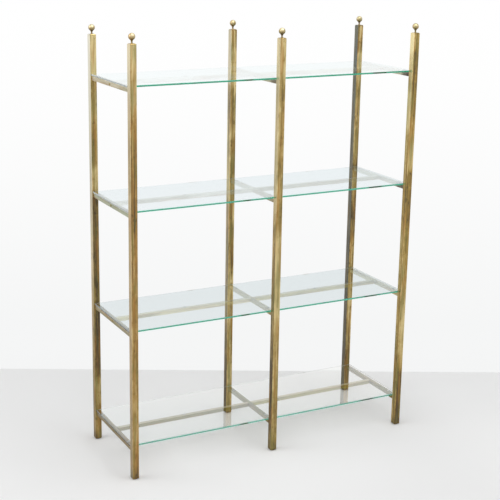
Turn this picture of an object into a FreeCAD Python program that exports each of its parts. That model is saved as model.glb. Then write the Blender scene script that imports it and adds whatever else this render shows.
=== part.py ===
import FreeCAD, Part
import os
from math import cos, radians, sin

# Etagere of six square brass posts, tied by slim rails at four levels, each level with one loose glass sheet.
# Millimetres. X runs along the width, Y from front to rear, Z up. The origin is on the floor, mid-plan.

# ---------------------------------------------------------------- driving dimensions
# Layout
BAY_PITCH = 572.5            # post centre to post centre, along the width
DEPTH_PITCH = 379.0          # front post centre to rear post centre
FIRST_LEVEL = 102.0          # floor to the underside of the lowest rails
LAST_LEVEL_DROP = 161.5      # top of the tubes down to the underside of the highest rails

# Posts: square tube
POST_SIDE = 25.0
POST_WALL = 1.5
POST_CORNER = 2.0            # outer corner radius
POST_BORE_CORNER = 0.5       # inner corner radius
POST_LENGTH = 1565.0         # cut length of the tube

# Caps that close the posts, above and below
SPIGOT_LENGTH = 12.0         # how far a cap reaches into the tube
SPIGOT_CLEARANCE = 0.1       # each side
TOP_CAP_HEIGHT = 4.0
TOP_CAP_BEVEL = 2.5
FOOT_HEIGHT = 6.0
FOOT_BEVEL = 1.5

# Glides under the feet
GLIDE_RADIUS = 9.5
GLIDE_THICKNESS = 3.0
GLIDE_RECESS = 1.0           # how deep a glide sits in its foot
GLIDE_CLEARANCE = 0.1

# Finials: a ball on a waisted neck, screwed into the top cap
BALL_RADIUS = 12.0
BALL_LIFT = 23.0             # ball centre above the cap
NECK_ANGLE = 31.0            # where the neck leaves the ball, from straight down, degrees
NECK_WAIST_RADIUS = 2.9
NECK_WAIST_LIFT = 5.0
NECK_FOOT_RADIUS = 4.4
FINIAL_STUD_RADIUS = 3.0
FINIAL_STUD_LENGTH = 14.0

# Rails: square tube, smaller than the posts
RAIL_SIDE = 15.0
RAIL_WALL = 1.2
RAIL_CORNER = 1.5
RAIL_BORE_CORNER = 0.3

# Fastening of the long rails through the cross rails
PLUG_LENGTH = 22.0           # threaded block inside each end of a long rail
PLUG_CLEARANCE = 0.1         # each side, in the rail's bore
BOLT_RADIUS = 2.5
THREAD_LENGTH = 14.0         # how far a screw or stud reaches into a plug
THREAD_CLEARANCE = 0.05
BOLT_HOLE_CLEARANCE = 0.25   # where a bolt passes through a cross rail
HEAD_RADIUS = 4.5
HEAD_RIM = 0.8
HEAD_HEIGHT = 2.2
SLOT_WIDTH = 1.0
SLOT_DEPTH = 1.0

# Glass sheets and the clear pads that they lie on
GLASS_THICKNESS = 6.0
GLASS_POST_GAP = 1.5         # between a sheet's long edge and the posts
GLASS_OVERHANG = 2.5         # past the outer faces of the end rails
GLASS_ARRIS = 0.8            # ground edge
PAD_RADIUS = 5.0
PAD_TIP_RADIUS = 4.2
PAD_THICKNESS = 2.0
PAD_INSET = 45.0             # pad centre from the face of the post beside it

STUD_HOLE_CLEARANCE = 0.05   # finial stud in its cap
HOLE_OVERRUN = 1.0           # how far a cutting tool passes the wall that it cuts

# ---------------------------------------------------------------- names and places
SIDES = {"left": -1, "centre": 0, "right": 1}
ROWS = {"front": -1, "rear": 1}
BAYS = {"left": -1, "right": 1}
LEVELS = ("bottom", "lower", "upper", "top")

X_AXIS = FreeCAD.Vector(1, 0, 0)
Y_AXIS = FreeCAD.Vector(0, 1, 0)
Z_AXIS = FreeCAD.Vector(0, 0, 1)

# ---------------------------------------------------------------- worked out from them
GLIDE_DROP = GLIDE_THICKNESS - GLIDE_RECESS
TUBE_BOTTOM = GLIDE_DROP + FOOT_HEIGHT
TUBE_TOP = TUBE_BOTTOM + POST_LENGTH
POST_TOP = TUBE_TOP + TOP_CAP_HEIGHT
LEVEL_PITCH = (TUBE_TOP - LAST_LEVEL_DROP - FIRST_LEVEL) / (len(LEVELS) - 1)
POST_BORE = POST_SIDE - 2 * POST_WALL
SPIGOT_SIDE = POST_BORE - 2 * SPIGOT_CLEARANCE
RAIL_BORE = RAIL_SIDE - 2 * RAIL_WALL
PLUG_SIDE = RAIL_BORE - 2 * PLUG_CLEARANCE
CROSS_LENGTH = DEPTH_PITCH - POST_SIDE
LONG_LENGTH = BAY_PITCH - RAIL_SIDE
BOLT_HOLE_RADIUS = BOLT_RADIUS + BOLT_HOLE_CLEARANCE
GLASS_LENGTH = 2 * BAY_PITCH + RAIL_SIDE + 2 * GLASS_OVERHANG
GLASS_DEPTH = CROSS_LENGTH - 2 * GLASS_POST_GAP


def level_bottom(level):
    """Underside of the rails of a level."""
    return FIRST_LEVEL + LEVEL_PITCH * LEVELS.index(level)


def rail_axis(level):
    """Height of the centre line of a level's rails."""
    return level_bottom(level) + RAIL_SIDE / 2


def rail_top(level):
    """Height of the faces that the pads stick to."""
    return level_bottom(level) + RAIL_SIDE


# ---------------------------------------------------------------- basic shapes
def rounded_square(side, radius, z=0.0):
    """Closed wire of a square with round corners, centred on the Z axis at a height."""
    half = side / 2
    flat = half - radius
    reach = flat + radius * cos(radians(45))
    edges = []
    for quarter in range(4):
        straight = Part.LineSegment(FreeCAD.Vector(half, -flat, z), FreeCAD.Vector(half, flat, z))
        corner = Part.Arc(
            FreeCAD.Vector(half, flat, z),
            FreeCAD.Vector(reach, reach, z),
            FreeCAD.Vector(flat, half, z),
        )
        for curve in (straight, corner):
            edge = curve.toShape()
            edge.rotate(FreeCAD.Vector(0, 0, z), Z_AXIS, 90 * quarter)
            edges.append(edge)
    return Part.Wire(Part.__sortEdges__(edges))


def prism(side, radius, low, high):
    """Upright bar with round corners between two heights."""
    return Part.Face(rounded_square(side, radius, low)).extrude(Z_AXIS * (high - low))


def bevelled(side, radius, bevel, low, high):
    """Straight-ruled solid between a full square at one height and a square smaller by the bevel at the other."""
    wide = rounded_square(side, radius, low)
    narrow = rounded_square(side - 2 * bevel, radius, high)
    return Part.makeLoft([wide, narrow], True, True)


def square_tube(side, wall, corner, bore_corner, length):
    """Upright square tube that starts at height 0."""
    outside = prism(side, corner, 0, length)
    inside = prism(side - 2 * wall, bore_corner, -HOLE_OVERRUN, length + HOLE_OVERRUN)
    return outside.cut(inside)


def laid_along(shape, axis):
    """Turns a shape made along Z so that it runs along X or Y."""
    turned = shape.copy()
    if axis == "x":
        turned.rotate(FreeCAD.Vector(0, 0, 0), Y_AXIS, 90)
    else:
        turned.rotate(FreeCAD.Vector(0, 0, 0), X_AXIS, -90)
    return turned


def placed(shape, x=0.0, y=0.0, z=0.0):
    """Copy of a shape moved to a place."""
    moved = shape.copy()
    moved.translate(FreeCAD.Vector(x, y, z))
    return moved


def cylinder(radius, low, high):
    """Upright cylinder on the Z axis."""
    return Part.makeCylinder(radius, high - low, FreeCAD.Vector(0, 0, low), Z_AXIS)


def turned_solid(curves):
    """Solid of revolution about Z from the curves of its half profile, which start and end on the axis."""
    edges = [curve.toShape() for curve in curves]
    start = curves[0].StartPoint
    end = curves[-1].EndPoint
    edges.append(Part.LineSegment(end, start).toShape())
    return Part.Face(Part.Wire(edges)).revolve(FreeCAD.Vector(0, 0, 0), Z_AXIS, 360)


def profile_point(radius, z):
    """Point of a half profile."""
    return FreeCAD.Vector(radius, 0, z)


# ---------------------------------------------------------------- pieces, each at its own origin
def post():
    """Post tube; its lower end is at height 0."""
    return square_tube(POST_SIDE, POST_WALL, POST_CORNER, POST_BORE_CORNER, POST_LENGTH)


def top_cap():
    """Bevelled cap with a spigot below; it is seated on the tube's end at height 0."""
    shoulder = TOP_CAP_HEIGHT - TOP_CAP_BEVEL
    plate = prism(POST_SIDE, POST_CORNER, 0, shoulder)
    crown = bevelled(POST_SIDE, POST_CORNER, TOP_CAP_BEVEL, shoulder, TOP_CAP_HEIGHT)
    spigot = prism(SPIGOT_SIDE, POST_BORE_CORNER, -SPIGOT_LENGTH, 0)
    hole = cylinder(
        FINIAL_STUD_RADIUS + STUD_HOLE_CLEARANCE,
        -SPIGOT_LENGTH - HOLE_OVERRUN,
        TOP_CAP_HEIGHT + HOLE_OVERRUN,
    )
    return plate.fuse([crown, spigot]).removeSplitter().cut(hole)


def foot_cap():
    """Foot with a spigot above and a recess for its glide below; the tube's end is at height 0."""
    shoulder = FOOT_BEVEL - FOOT_HEIGHT
    plate = prism(POST_SIDE, POST_CORNER, shoulder, 0)
    sole = bevelled(POST_SIDE, POST_CORNER, FOOT_BEVEL, shoulder, -FOOT_HEIGHT)
    spigot = prism(SPIGOT_SIDE, POST_BORE_CORNER, 0, SPIGOT_LENGTH)
    recess = cylinder(
        GLIDE_RADIUS + GLIDE_CLEARANCE,
        -FOOT_HEIGHT - HOLE_OVERRUN,
        GLIDE_RECESS - FOOT_HEIGHT,
    )
    return plate.fuse([sole, spigot]).removeSplitter().cut(recess)


def glide():
    """Round glide that stands on the floor."""
    return cylinder(GLIDE_RADIUS, 0, GLIDE_THICKNESS)


def finial():
    """Ball, waisted neck and threaded stud in one turned piece; the neck stands on the cap at height 0."""
    leave = radians(NECK_ANGLE)
    ball_top = profile_point(0, BALL_LIFT + BALL_RADIUS)
    ball_side = profile_point(BALL_RADIUS, BALL_LIFT)
    neck_top = profile_point(BALL_RADIUS * sin(leave), BALL_LIFT - BALL_RADIUS * cos(leave))
    waist = profile_point(NECK_WAIST_RADIUS, NECK_WAIST_LIFT)
    neck_foot = profile_point(NECK_FOOT_RADIUS, 0)
    stud_top = profile_point(FINIAL_STUD_RADIUS, 0)
    stud_rim = profile_point(FINIAL_STUD_RADIUS, -FINIAL_STUD_LENGTH)
    stud_end = profile_point(0, -FINIAL_STUD_LENGTH)
    curves = [
        Part.Arc(ball_top, ball_side, neck_top),
        Part.Arc(neck_top, waist, neck_foot),
    ]
    if FINIAL_STUD_RADIUS < NECK_FOOT_RADIUS:
        curves.append(Part.LineSegment(neck_foot, stud_top))
    curves += [Part.LineSegment(stud_top, stud_rim), Part.LineSegment(stud_rim, stud_end)]
    return turned_solid(curves)


def cross_rail():
    """Rail from a front post to a rear post, along Y and centred, bored sideways for the long rails' bolts."""
    tube = square_tube(RAIL_SIDE, RAIL_WALL, RAIL_CORNER, RAIL_BORE_CORNER, CROSS_LENGTH)
    rail = laid_along(placed(tube, z=-CROSS_LENGTH / 2), "y")
    half = RAIL_SIDE / 2 + HOLE_OVERRUN
    return rail.cut(laid_along(cylinder(BOLT_HOLE_RADIUS, -half, half), "x"))


def long_rail():
    """Rail along X between two cross rails, centred."""
    tube = square_tube(RAIL_SIDE, RAIL_WALL, RAIL_CORNER, RAIL_BORE_CORNER, LONG_LENGTH)
    return laid_along(placed(tube, z=-LONG_LENGTH / 2), "x")


def rail_plug():
    """Threaded block for the end of a long rail; its outer end is at 0 and it reaches towards +X."""
    block = prism(PLUG_SIDE, RAIL_BORE_CORNER, 0, PLUG_LENGTH)
    thread = cylinder(BOLT_RADIUS + THREAD_CLEARANCE, -HOLE_OVERRUN, THREAD_LENGTH + HOLE_OVERRUN)
    return laid_along(block.cut(thread), "x")


def end_screw():
    """Slotted dome-headed screw; its head seats at 0 and its shank runs towards +X."""
    shank = RAIL_SIDE + THREAD_LENGTH
    apex = profile_point(0, -HEAD_HEIGHT)
    rim_top = profile_point(HEAD_RADIUS, -HEAD_RIM)
    rise = HEAD_HEIGHT - HEAD_RIM
    dome_radius = (HEAD_RADIUS ** 2 + rise ** 2) / (2 * rise)
    half_chord = HEAD_RADIUS / 2
    dip = dome_radius - (dome_radius ** 2 - half_chord ** 2) ** 0.5
    dome_mid = profile_point(half_chord, dip - HEAD_HEIGHT)
    body = turned_solid([
        Part.Arc(apex, dome_mid, rim_top),
        Part.LineSegment(rim_top, profile_point(HEAD_RADIUS, 0)),
        Part.LineSegment(profile_point(HEAD_RADIUS, 0), profile_point(BOLT_RADIUS, 0)),
        Part.LineSegment(profile_point(BOLT_RADIUS, 0), profile_point(BOLT_RADIUS, shank)),
        Part.LineSegment(profile_point(BOLT_RADIUS, shank), profile_point(0, shank)),
    ])
    slot = Part.makeBox(
        SLOT_WIDTH,
        2 * HEAD_RADIUS,
        SLOT_DEPTH + HOLE_OVERRUN,
        FreeCAD.Vector(-SLOT_WIDTH / 2, -HEAD_RADIUS, -HEAD_HEIGHT - HOLE_OVERRUN),
    )
    return laid_along(body.cut(slot), "x")


def centre_stud():
    """Headless stud that ties the two bays through a centre cross rail."""
    half = RAIL_SIDE / 2 + THREAD_LENGTH
    return laid_along(cylinder(BOLT_RADIUS, -half, half), "x")


def glass_sheet():
    """Sheet with ground edges; its underside is at height 0."""
    sheet = Part.makeBox(
        GLASS_LENGTH,
        GLASS_DEPTH,
        GLASS_THICKNESS,
        FreeCAD.Vector(-GLASS_LENGTH / 2, -GLASS_DEPTH / 2, 0),
    )
    return sheet.makeChamfer(GLASS_ARRIS, sheet.Edges)


def pad():
    """Clear bumper, slightly tapered; it stands at height 0."""
    return Part.makeCone(PAD_RADIUS, PAD_TIP_RADIUS, PAD_THICKNESS)


# ---------------------------------------------------------------- places of what repeats
def pad_places():
    """Plan positions of one level's pads: two on each cross rail and one on each long rail."""
    y = CROSS_LENGTH / 2 - PAD_INSET
    places = [(side * BAY_PITCH, row * y) for side in SIDES.values() for row in ROWS.values()]
    return places + [(bay * BAY_PITCH / 2, 0.0) for bay in BAYS.values()]


def all_glides():
    """One glide under each post."""
    return [placed(glide(), side * BAY_PITCH, row * DEPTH_PITCH / 2)
            for side in SIDES.values() for row in ROWS.values()]


def mirrored_pair(piece, offset, z):
    """A piece made towards +X from 0, set facing outwards-in at -offset and mirrored at +offset."""
    left = placed(piece, -offset, 0, z)
    return [left, left.mirror(FreeCAD.Vector(0, 0, 0), X_AXIS)]


def all_rail_plugs():
    """A plug in each end of every long rail."""
    outer = BAY_PITCH - RAIL_SIDE / 2
    inner = RAIL_SIDE / 2
    turned = rail_plug().mirror(FreeCAD.Vector(0, 0, 0), X_AXIS)
    plugs = []
    for level in LEVELS:
        plugs += mirrored_pair(rail_plug(), outer, rail_axis(level))
        plugs += mirrored_pair(turned, inner, rail_axis(level))
    return plugs


def all_end_screws():
    """A screw through each end cross rail into the long rail behind it."""
    outer = BAY_PITCH + RAIL_SIDE / 2
    screws = []
    for level in LEVELS:
        screws += mirrored_pair(end_screw(), outer, rail_axis(level))
    return screws


# ---------------------------------------------------------------- nodes
def save(node, shapes):
    """Writes one node from its solids."""
    solid = shapes[0] if len(shapes) == 1 else Part.makeCompound(shapes)
    solid.exportStep(os.path.join("parts", node + ".step"))


def save_posts():
    """Posts with their caps, feet and finials."""
    for row, toward in ROWS.items():
        for side, across in SIDES.items():
            x = across * BAY_PITCH
            y = toward * DEPTH_PITCH / 2
            name = row + "_" + side
            save("post_" + name, [placed(post(), x, y, TUBE_BOTTOM)])
            save("foot_" + name, [placed(foot_cap(), x, y, TUBE_BOTTOM)])
            save("cap_" + name, [placed(top_cap(), x, y, TUBE_TOP)])
            save("finial_" + name, [placed(finial(), x, y, POST_TOP)])


def save_level(level):
    """Rails, pads and glass of one level."""
    z = rail_axis(level)
    for side, across in SIDES.items():
        save("cross_rail_" + side + "_" + level, [placed(cross_rail(), across * BAY_PITCH, 0, z)])
    for bay, across in BAYS.items():
        save("long_rail_" + bay + "_" + level, [placed(long_rail(), across * BAY_PITCH / 2, 0, z)])
    save("pads_" + level, [placed(pad(), x, y, rail_top(level)) for x, y in pad_places()])
    save("glass_" + level, [placed(glass_sheet(), z=rail_top(level) + PAD_THICKNESS)])


def main():
    """Writes every node."""
    os.makedirs("parts", exist_ok=True)
    save_posts()
    for level in LEVELS:
        save_level(level)
    save("glides", all_glides())
    save("rail_plugs", all_rail_plugs())
    save("end_screws", all_end_screws())
    save("centre_studs", [placed(centre_stud(), z=rail_axis(level)) for level in LEVELS])


main()
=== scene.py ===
"""Looks of an etagere: six aged brass posts tied by slim rails, with four loose sheets of clear glass."""
import logging
import math
from dataclasses import astuple, dataclass, field
from enum import Enum
from typing import Iterable, Union

import bmesh
import bpy
from mathutils import Matrix, Vector, noise


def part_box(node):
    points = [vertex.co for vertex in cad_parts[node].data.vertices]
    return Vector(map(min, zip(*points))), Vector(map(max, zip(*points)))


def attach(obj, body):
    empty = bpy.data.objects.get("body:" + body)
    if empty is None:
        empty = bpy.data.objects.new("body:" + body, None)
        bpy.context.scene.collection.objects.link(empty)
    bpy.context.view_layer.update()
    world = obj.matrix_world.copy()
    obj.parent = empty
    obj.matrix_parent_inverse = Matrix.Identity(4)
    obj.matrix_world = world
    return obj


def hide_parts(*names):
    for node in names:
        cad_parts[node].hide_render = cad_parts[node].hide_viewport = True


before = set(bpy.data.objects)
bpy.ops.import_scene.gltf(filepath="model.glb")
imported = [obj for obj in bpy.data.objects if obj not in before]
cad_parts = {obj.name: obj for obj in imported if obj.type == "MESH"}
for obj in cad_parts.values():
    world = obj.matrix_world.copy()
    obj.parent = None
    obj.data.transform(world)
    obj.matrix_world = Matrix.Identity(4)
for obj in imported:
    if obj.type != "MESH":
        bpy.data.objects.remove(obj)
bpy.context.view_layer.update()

log = logging.getLogger("etagere")

Socket = bpy.types.NodeSocket
Number = Union[float, Socket]
Pair = tuple[float, float]
Triple = tuple[float, float, float]
Rgba = tuple[float, float, float, float]
Stretches = tuple[tuple[float, ...], ...]

SIDES = ("left", "centre", "right")
ROWS = ("front", "rear")
BAYS = ("left", "right")
LEVELS = ("bottom", "lower", "upper", "top")
FOOT, HEAD = -1.0, 3.0
BEFORE_ONE_BOUNCE = 0.5


# ---------------------------------------------------------------- colour
@dataclass(frozen=True)
class Paint:
    """A colour as it is seen, in steps of 0 to 255."""

    red: int
    green: int
    blue: int

    def linear(self) -> Rgba:
        """Works out the colour as a shader socket takes it, by the sRGB curve.

        Returns:
            Its red, green, blue and alpha.
        """
        parts = (step / 255 for step in astuple(self))
        curve = (part / 12.92 if part <= 0.04045 else ((part + 0.055) / 1.055) ** 2.4 for part in parts)
        return (*curve, 1.0)

    def scaled(self, factor: float) -> "Paint":
        """Returns a lighter or darker paint of the same hue."""
        return Paint(*(min(255, round(step * factor)) for step in astuple(self)))


WHITE = Paint(255, 255, 255)


# ---------------------------------------------------------------- wiring
class Port(Enum):
    """Kinds of socket on a shader node group."""

    VALUE = "NodeSocketFloat"
    COLOUR = "NodeSocketColor"
    VECTOR = "NodeSocketVector"


class Graph:
    """Wires the nodes of one shader tree."""

    def __init__(self, tree: bpy.types.NodeTree) -> None:
        """Takes the tree that the nodes go into."""
        self.tree = tree

    def add(self, kind: str, **settings: object) -> bpy.types.Node:
        """Adds a shader node.

        Args:
            kind: the node's type, without the leading ShaderNode.
            **settings: the node's own properties.

        Returns:
            The new node.
        """
        node = self.tree.nodes.new("ShaderNode" + kind)
        for name, value in settings.items():
            setattr(node, name, value)
        return node

    def feed(self, socket: Socket, value: object) -> None:
        """Gives an input what it takes.

        Args:
            socket: the input.
            value: a socket to link, or a paint or plain value to write.
        """
        if isinstance(value, bpy.types.NodeSocket):
            self.tree.links.new(value, socket)
        else:
            socket.default_value = value.linear() if isinstance(value, Paint) else value

    def row(self, node: bpy.types.Node, *values: object) -> Socket:
        """Feeds a node in the order of its inputs.

        Args:
            node: the node.
            *values: what its first inputs take.

        Returns:
            The node's first output.
        """
        for socket, value in zip(node.inputs, values):
            self.feed(socket, value)
        return node.outputs[0]

    def fill(self, node: bpy.types.Node, **values: object) -> Socket:
        """Feeds a node by the names of its inputs.

        Args:
            node: the node.
            **values: what its inputs take, with small letters and underscores for their names.

        Returns:
            The node's first output.
        """
        for name, value in values.items():
            self.feed(node.inputs[name.replace("_", " ").title().replace("Ior", "IOR")], value)
        return node.outputs[0]

    def place(self, effect: "Effect", **values: object) -> dict[str, Socket]:
        """Places a shared effect with its own values.

        Args:
            effect: the effect, whose node group is built when it is first needed.
            **values: its inputs, with small letters and underscores for their names.

        Returns:
            Its outputs by name.
        """
        node = self.add("Group")
        node.node_tree = effect.tree()
        self.fill(node, **values)
        return {socket.name: socket for socket in node.outputs}

    def sum(self, operation: str, first: Number, second: Number = 0.0, clamp: bool = False) -> Socket:
        """Returns what a Math node's operation gives, kept from 0 to 1 where clamp is True."""
        return self.row(self.add("Math", operation=operation, use_clamp=clamp), first, second)

    def minus(self, first: Number, second: Number, clamp: bool = False) -> Socket:
        """Returns the first value less the second, kept from 0 to 1 where clamp is True."""
        return self.sum("SUBTRACT", first, second, clamp)

    def plus(self, result: Number = 0.0, *others: Number) -> Number:
        """Adds values up.

        Args:
            result: the first value.
            *others: the others.

        Returns:
            The sum, which is 0 where there is nothing to add.
        """
        for value in others:
            result = self.sum("ADD", result, value)
        return result

    def times(self, result: Number, *factors: Number, clamp: bool = False) -> Number:
        """Multiplies values.

        Args:
            result: the first value.
            *factors: the others.
            clamp: True to keep each product from 0 to 1.

        Returns:
            The product.
        """
        for factor in factors:
            result = self.sum("MULTIPLY", result, factor, clamp)
        return result

    def rise(self, value: Number, low: Number, high: Number, start: float = 0.0, end: float = 1.0) -> Socket:
        """Returns a level that eases from start to end while a value rises from low to high."""
        return self.row(self.add("MapRange", interpolation_type="SMOOTHSTEP"), value, low, high, start, end)

    def blend(self, share: Number, first: object, second: object) -> Socket:
        """Mixes two colours.

        Args:
            share: how much of the second colour shows.
            first: the first colour.
            second: the second colour.

        Returns:
            The mixed colour.
        """
        node = self.add("Mix", data_type="RGBA")
        # The sockets for colours come after those for numbers and vectors.
        for index, value in ((0, share), (6, first), (7, second)):
            self.feed(node.inputs[index], value)
        return node.outputs[2]

    def cover(self, share: Number, first: Socket, second: Socket) -> Socket:
        """Returns a mix of two shaders, with a share of the second."""
        return self.row(self.add("MixShader"), share, first, second)

    def vectors(self, operation: str, first: object, second: object) -> Socket:
        """Returns what a Vector Math node's operation gives."""
        return self.row(self.add("VectorMath", operation=operation), first, second)

    def split(self, vector: Socket) -> tuple[Socket, ...]:
        """Returns the three parts of a vector."""
        node = self.add("SeparateXYZ")
        return self.row(node, vector), *node.outputs[1:]

    def joined(self, parts: Iterable[Number]) -> Socket:
        """Returns a vector made of three parts."""
        return self.row(self.add("CombineXYZ"), *parts)

    def point(self) -> Socket:
        """Returns where a point lies, in metres."""
        return self.add("TexCoord").outputs["Object"]

    def bump(self, height: Socket, strength: float, distance: float) -> Socket:
        """Returns the normal of a surface that a height pattern has roughened."""
        return self.fill(self.add("Bump"), height=height, strength=strength, distance=distance)


@dataclass(frozen=True)
class Clouds:
    """A cloud pattern: how many clouds go to a metre along each axis, its number, and its finer layers."""

    scale: Triple
    number: float = 0.0
    detail: float = 2.0
    roughness: float = 0.5

    def draw(self, graph: Graph, place: Socket, seed: Number = 0.0) -> Socket:
        """Draws the pattern.

        Args:
            graph: the graph that it goes into.
            place: where it is read, in metres.
            seed: picks one pattern of the many.

        Returns:
            The pattern, around 0.5.
        """
        return graph.fill(
            graph.add("TexNoise", noise_dimensions="4D"),
            vector=graph.vectors("MULTIPLY", place, self.scale),
            w=graph.plus(seed, self.number),
            scale=1.0,
            detail=self.detail,
            roughness=self.roughness,
        )


class Effect:
    """A shader node group with named inputs and outputs, built once and shared by the materials."""

    title = ""
    takes: tuple[tuple[str, Port, object], ...] = ()
    gives: tuple[tuple[str, Port], ...] = ()

    def tree(self) -> bpy.types.NodeTree:
        """Finds the node group, and builds it the first time.

        Returns:
            The node group.
        """
        made = bpy.data.node_groups.get(self.title)
        if made is not None:
            return made
        made = bpy.data.node_groups.new(self.title, "ShaderNodeTree")
        for name, kind, start in self.takes:
            made.interface.new_socket(name, in_out="INPUT", socket_type=kind.value).default_value = start
        for name, kind in self.gives:
            made.interface.new_socket(name, in_out="OUTPUT", socket_type=kind.value)
        inside, outside = made.nodes.new("NodeGroupInput"), made.nodes.new("NodeGroupOutput")
        graph = Graph(made)
        results = self.wire(graph, {socket.name: socket for socket in inside.outputs if socket.name})
        for name, value in results.items():
            graph.feed(outside.inputs[name], value)
        return made

    def wire(self, graph: Graph, given: dict[str, Socket]) -> dict[str, Number]:
        """Wires the inside of the group.

        Args:
            graph: the group's graph.
            given: the group's inputs by name.

        Returns:
            What goes to each output, by name.
        """
        raise NotImplementedError


# ---------------------------------------------------------------- shared effects
class FaceSides(Effect):
    """Masks for three faces of a straight bar, eased over its round corners."""

    title = "face_sides"
    gives = (("Left", Port.VALUE), ("Front", Port.VALUE), ("Top", Port.VALUE))
    turn = (0.3, 0.8)

    def wire(self, graph: Graph, given: dict[str, Socket]) -> dict[str, Number]:
        """Reads the face that a point lies on from its normal.

        Args:
            graph: the group's graph.
            given: the group's inputs by name, not used.

        Returns:
            The mask of each face.
        """
        across, depth, height = graph.split(graph.add("NewGeometry").outputs["Normal"])
        low, high = self.turn
        return {
            "Left": graph.rise(across, -low, -high),
            "Front": graph.rise(depth, -low, -high),
            "Top": graph.rise(height, low, high),
        }


class Stretch(Effect):
    """A stretch of a bar that differs from the rest, with soft ends."""

    title = "patina_stretch"
    takes = (
        ("Along", Port.VALUE, 0.0),
        ("Low", Port.VALUE, 0.0),
        ("High", Port.VALUE, 1.0),
        ("Fade", Port.VALUE, 0.05),
        ("Amount", Port.VALUE, 0.2),
        ("Side", Port.VALUE, 1.0),
    )
    gives = (("Amount", Port.VALUE),)

    def wire(self, graph: Graph, given: dict[str, Socket]) -> dict[str, Number]:
        """Limits an amount to a stretch and a side.

        Args:
            graph: the group's graph.
            given: the group's inputs by name.

        Returns:
            The limited amount.
        """
        along, fade = given["Along"], given["Fade"]
        after, past = (
            graph.rise(along, graph.minus(given[end], fade), graph.plus(given[end], fade))
            for end in ("Low", "High")
        )
        return {"Amount": graph.times(after, graph.minus(1.0, past), given["Side"], given["Amount"])}


class ShelfTone(Effect):
    """Painted highlight on the metal just above each shelf and painted shade just below it."""

    title = "shelf_tone"
    takes = (("Height", Port.VALUE, 0.0), ("First", Port.VALUE, 0.102), ("Pitch", Port.VALUE, 0.4365))
    gives = (("Rubbed", Port.VALUE), ("Dull", Port.VALUE))
    highlight_from = (0.015, 0.024)
    highlight_to = (0.045, 0.075)
    shelf_shade_depth = 0.07

    def wire(self, graph: Graph, given: dict[str, Socket]) -> dict[str, Number]:
        """Repeats one zone of painted highlight and one of painted shade at every shelf.

        Args:
            graph: the group's graph.
            given: the group's inputs by name.

        Returns:
            The masks of the two zones.
        """
        pitch = given["Pitch"]
        over = graph.sum("MODULO", graph.plus(graph.minus(given["Height"], given["First"]), pitch), pitch)
        # Painted highlight just above each shelf.
        starts, ends = graph.rise(over, *self.highlight_from), graph.rise(over, *self.highlight_to, 1.0, 0.0)
        # Painted shade just below each shelf.
        dull = graph.rise(graph.minus(pitch, over), 0.0, self.shelf_shade_depth, 1.0, 0.0)
        return {"Rubbed": graph.times(starts, ends), "Dull": dull}


class CornerWearAndGlint(Effect):
    """Corners of a square bar, painted paler: tarnish rubbed off by handling, and a painted edge highlight.
    """

    title = "corner_wear"
    takes = (
        ("Place", Port.VECTOR, (0, 0, 0)),
        ("Half Side", Port.VALUE, 0.0125),
        ("Width", Port.VALUE, 0.002),
        ("Seed", Port.VALUE, 0.0),
    )
    gives = (("Wear", Port.VALUE),)
    widths = (1.6, 0.5)
    breaks = Clouds((90, 90, 26), detail=3.0, roughness=0.6)
    broken = (0.36, 0.62, 0.25, 1.0)

    def wire(self, graph: Graph, given: dict[str, Socket]) -> dict[str, Number]:
        """Finds the corners from the lesser of the two distances off the bar's axis.

        Args:
            graph: the group's graph.
            given: the group's inputs by name.

        Returns:
            How worn a point is, with the painted edge highlight.
        """
        first, second, _ = graph.split(given["Place"])
        near = graph.sum("MINIMUM", graph.sum("ABSOLUTE", first), graph.sum("ABSOLUTE", second))
        inner, outer = (
            graph.minus(given["Half Side"], graph.times(given["Width"], share)) for share in self.widths
        )
        whole = graph.rise(self.breaks.draw(graph, given["Place"], given["Seed"]), *self.broken)
        return {"Wear": graph.times(graph.rise(near, inner, outer), whole)}


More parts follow.
